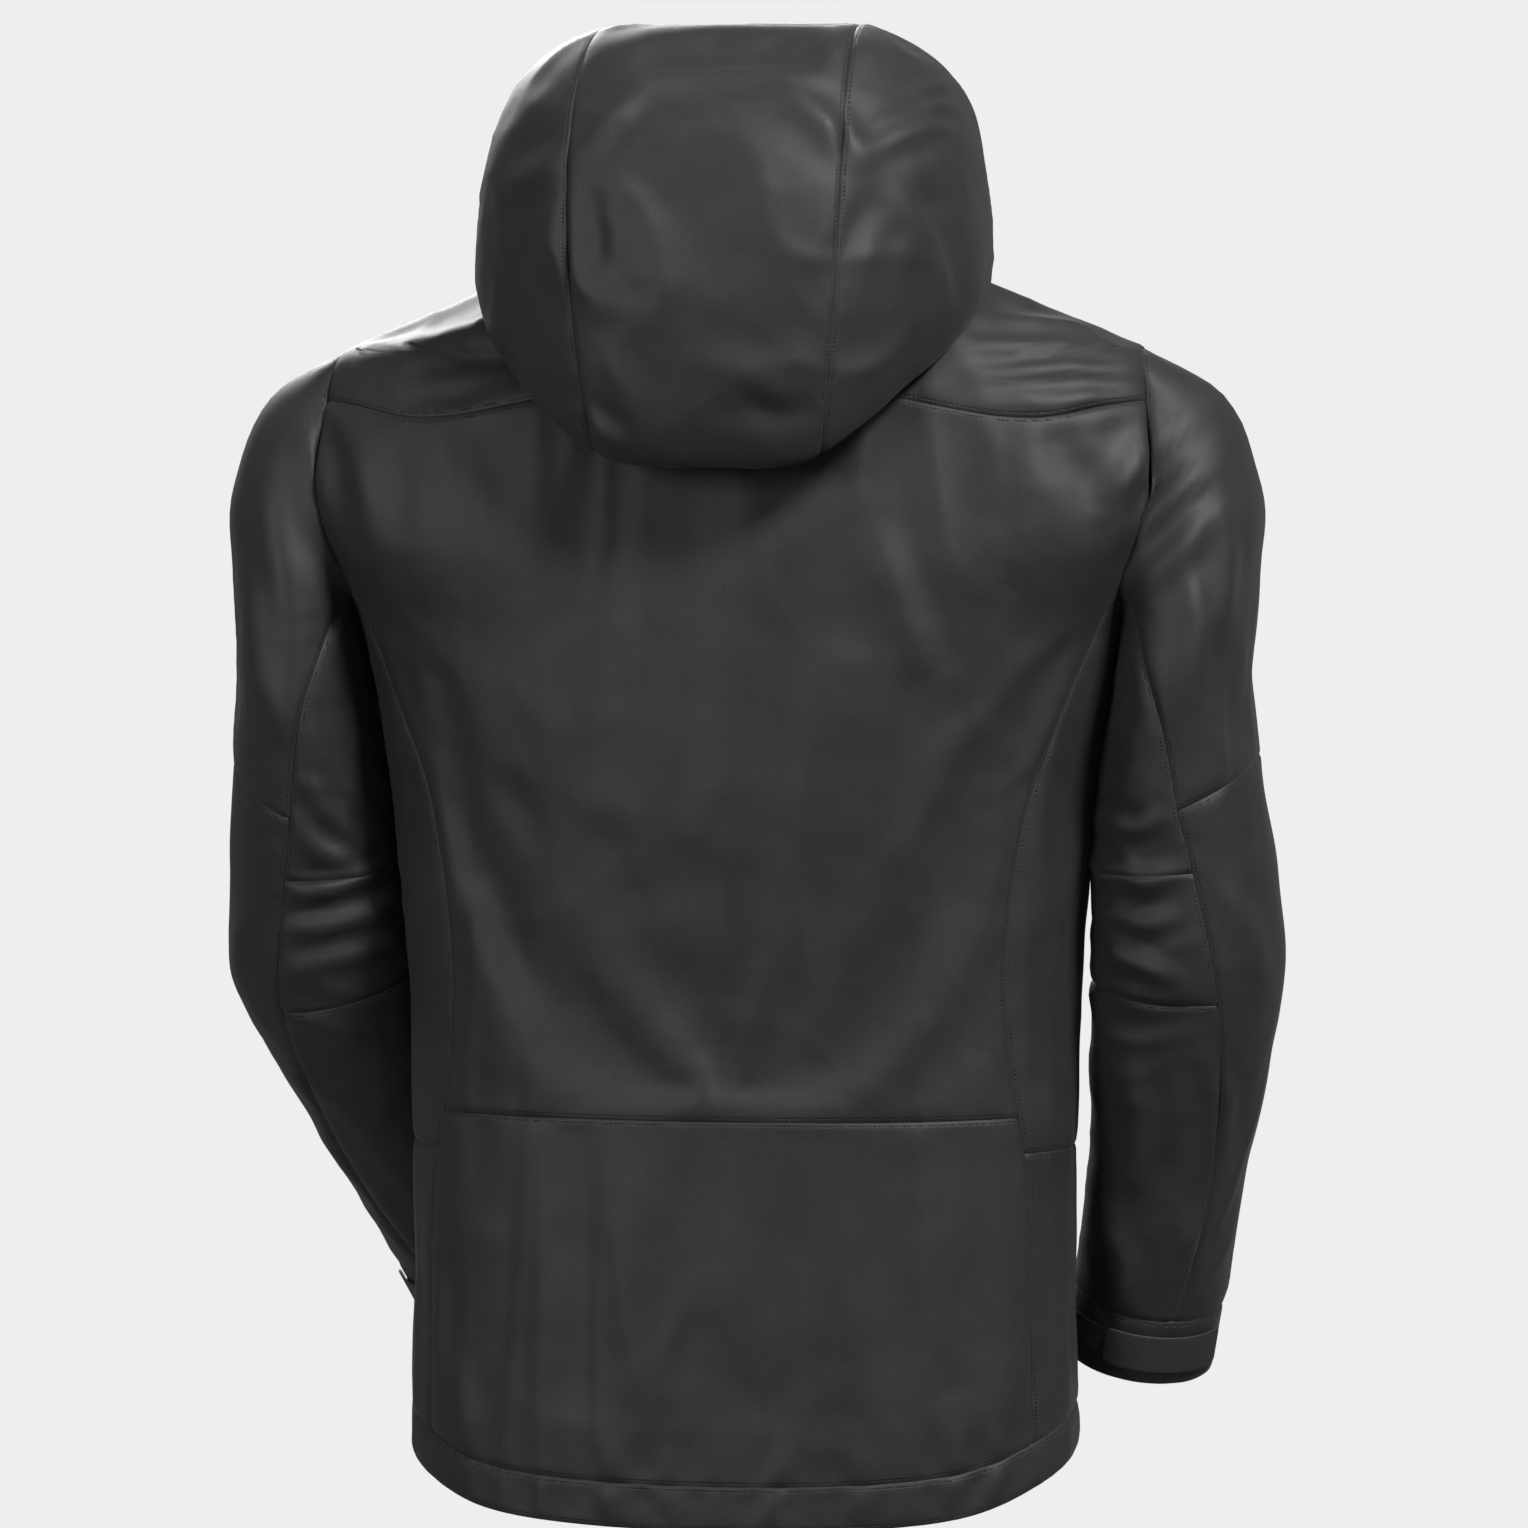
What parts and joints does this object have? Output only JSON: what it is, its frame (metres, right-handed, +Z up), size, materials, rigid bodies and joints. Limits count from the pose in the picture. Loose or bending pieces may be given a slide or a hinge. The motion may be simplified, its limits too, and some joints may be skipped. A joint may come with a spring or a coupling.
{
  "type": "hooded hardshell jacket",
  "caption": "Hooded waterproof shell jacket, zipped up and hanging as worn, with a peaked hood, articulated sleeves, adjustable cuffs, hand pockets and a drop-tail hem.",
  "frame": {"origin": "centre of the neck opening, at the level of the neck seam", "axes": "+Z up, the front faces -Y, +X is the wearer's left"},
  "size_m": [0.68, 0.4268, 0.9508],
  "materials": {
    "shell_fabric": "matte smooth three-layer face fabric",
    "trim_fabric": "woven tape and loop pile",
    "zip_tape": "matte laminated zip tape and coil",
    "slider_metal": "black enamel",
    "rubber_trim": "matte moulded",
    "lock_plastic": "matte moulded",
    "cord_fabric": "braided",
    "lining_fabric": "brushed tricot",
    "label_fabric": "plain woven label"
  },
  "bodies": {
    "torso": {"back_yoke": "shell_fabric", "centre_back_panel": "shell_fabric", "lower_back_panel": "shell_fabric", "left_side_panel": "shell_fabric", "right_side_panel": "shell_fabric", "left_lower_side_panel": "shell_fabric", "right_lower_side_panel": "shell_fabric", "left_front_yoke": "shell_fabric", "right_front_yoke": "shell_fabric", "left_front_panel": "shell_fabric", "right_front_panel": "shell_fabric", "hem_channel": "shell_fabric", "hem_drawcord": "cord_fabric", "collar": "shell_fabric", "chin_guard": "lining_fabric", "hood_base": "shell_fabric", "main_zip_left_half": "zip_tape", "main_zip_right_half": "zip_tape", "main_zip_box": "zip_tape", "inner_storm_flap": "shell_fabric", "left_pocket_zip_chain": "zip_tape", "right_pocket_zip_chain": "zip_tape", "left_hand_pocket_bag": "lining_fabric", "right_hand_pocket_bag": "lining_fabric", "hanger_loop": "trim_fabric", "size_label": "label_fabric", "hem_lock_housings": "lock_plastic"},
    "hood": {"hood_centre_panel": "shell_fabric", "left_hood_panel": "shell_fabric", "right_hood_panel": "shell_fabric", "hood_face_binding": "shell_fabric", "hood_brim": "shell_fabric", "hood_drawcord": "cord_fabric", "hood_lock_housings": "lock_plastic"},
    "main_zip_slider": {"main_zip_slider": "slider_metal"},
    "main_zip_puller": {"main_zip_puller": "rubber_trim"},
    "left_upper_arm": {"left_upper_sleeve": "shell_fabric", "left_under_sleeve": "shell_fabric", "left_elbow_panel": "shell_fabric"},
    "left_forearm": {"left_forearm_panel": "shell_fabric", "left_forearm_under_panel": "shell_fabric", "left_cuff": "shell_fabric", "left_cuff_loop_patch": "trim_fabric"},
    "left_cuff_tab": {"left_cuff_tab": "rubber_trim"},
    "left_pocket_zip_slider": {"left_pocket_zip_slider": "slider_metal"},
    "left_pocket_zip_puller": {"left_pocket_zip_puller": "rubber_trim"},
    "left_hem_lock_button": {"left_hem_lock_button": "lock_plastic"},
    "left_hood_lock_button": {"left_hood_lock_button": "lock_plastic"},
    "right_upper_arm": {"right_upper_sleeve": "shell_fabric", "right_under_sleeve": "shell_fabric", "right_elbow_panel": "shell_fabric"},
    "right_forearm": {"right_forearm_panel": "shell_fabric", "right_forearm_under_panel": "shell_fabric", "right_cuff": "shell_fabric", "right_cuff_loop_patch": "trim_fabric"},
    "right_cuff_tab": {"right_cuff_tab": "rubber_trim"},
    "right_pocket_zip_slider": {"right_pocket_zip_slider": "slider_metal"},
    "right_pocket_zip_puller": {"right_pocket_zip_puller": "rubber_trim"},
    "right_hem_lock_button": {"right_hem_lock_button": "lock_plastic"},
    "right_hood_lock_button": {"right_hood_lock_button": "lock_plastic"}
  },
  "joints": [
    {"name": "hood_tilt", "type": "hinge", "parent": "torso", "child": "hood", "pos_m": [0, 0.02, 0], "axis": [1, 0, 0], "range_deg": [-6, 10], "deforming": ["hood_base"]},
    {"name": "left_shoulder_raise", "type": "hinge", "parent": "torso", "child": "left_upper_arm", "pos_m": [0.232, 0, -0.135], "axis": [0, -1, 0], "range_deg": [0, 60]},
    {"name": "left_elbow_bend", "type": "hinge", "parent": "left_upper_arm", "child": "left_forearm", "pos_m": [0.283, -0.03, -0.448], "axis": [-1, 0, 0], "range_deg": [0, 55], "deforming": ["left_elbow_panel"]},
    {"name": "left_cuff_tab_peel", "type": "hinge", "parent": "left_forearm", "child": "left_cuff_tab", "pos_m": [0.18704, -0.12213, -0.67916], "axis": [0.2952, 0.5202, 0.8014], "range_deg": [0, 110]},
    {"name": "right_shoulder_raise", "type": "hinge", "parent": "torso", "child": "right_upper_arm", "pos_m": [-0.232, 0, -0.135], "axis": [0, 1, 0], "range_deg": [0, 60]},
    {"name": "right_elbow_bend", "type": "hinge", "parent": "right_upper_arm", "child": "right_forearm", "pos_m": [-0.285, -0.004, -0.447], "axis": [-1, 0, 0], "range_deg": [0, 70], "deforming": ["right_elbow_panel"]},
    {"name": "right_cuff_tab_peel", "type": "hinge", "parent": "right_forearm", "child": "right_cuff_tab", "pos_m": [-0.23172, -0.01662, -0.69235], "axis": [0.1376, -0.2455, -0.9596], "range_deg": [0, 110]},
    {"name": "main_zip_run", "type": "slide", "parent": "torso", "child": "main_zip_slider", "axis": [0, -0.028, -0.9996], "range_m": [0, 0.78]},
    {"name": "main_zip_puller_swing", "type": "hinge", "parent": "main_zip_slider", "child": "main_zip_puller", "pos_m": [0, -0.09649, 0.05411], "axis": [-1, 0, 0], "range_deg": [0, 150]},
    {"name": "left_pocket_zip_run", "type": "slide", "parent": "torso", "child": "left_pocket_zip_slider", "axis": [0.0102, -0.0261, -0.9996], "range_m": [0, 0.15]},
    {"name": "left_pocket_puller_swing", "type": "hinge", "parent": "left_pocket_zip_slider", "child": "left_pocket_zip_puller", "pos_m": [0.1395, -0.08634, -0.43489], "axis": [-0.9316, -0.3634, 0], "range_deg": [0, 150]},
    {"name": "left_hem_lock_press", "type": "slide", "parent": "torso", "child": "left_hem_lock_button", "axis": [0, 0, -1], "range_m": [0, 0.003], "stiffness_N_per_m": 200, "springref_m": -0.002},
    {"name": "left_hood_lock_press", "type": "slide", "parent": "hood", "child": "left_hood_lock_button", "axis": [0, 0, -1], "range_m": [0, 0.003], "stiffness_N_per_m": 200, "springref_m": -0.002},
    {"name": "right_pocket_zip_run", "type": "slide", "parent": "torso", "child": "right_pocket_zip_slider", "axis": [-0.0102, -0.0261, -0.9996], "range_m": [0, 0.15]},
    {"name": "right_pocket_puller_swing", "type": "hinge", "parent": "right_pocket_zip_slider", "child": "right_pocket_zip_puller", "pos_m": [-0.1395, -0.08634, -0.43489], "axis": [-0.9316, 0.3634, 0], "range_deg": [0, 150]},
    {"name": "right_hem_lock_press", "type": "slide", "parent": "torso", "child": "right_hem_lock_button", "axis": [0, 0, -1], "range_m": [0, 0.003], "stiffness_N_per_m": 200, "springref_m": -0.002},
    {"name": "right_hood_lock_press", "type": "slide", "parent": "hood", "child": "right_hood_lock_button", "axis": [0, 0, -1], "range_m": [0, 0.003], "stiffness_N_per_m": 200, "springref_m": -0.002}
  ]
}
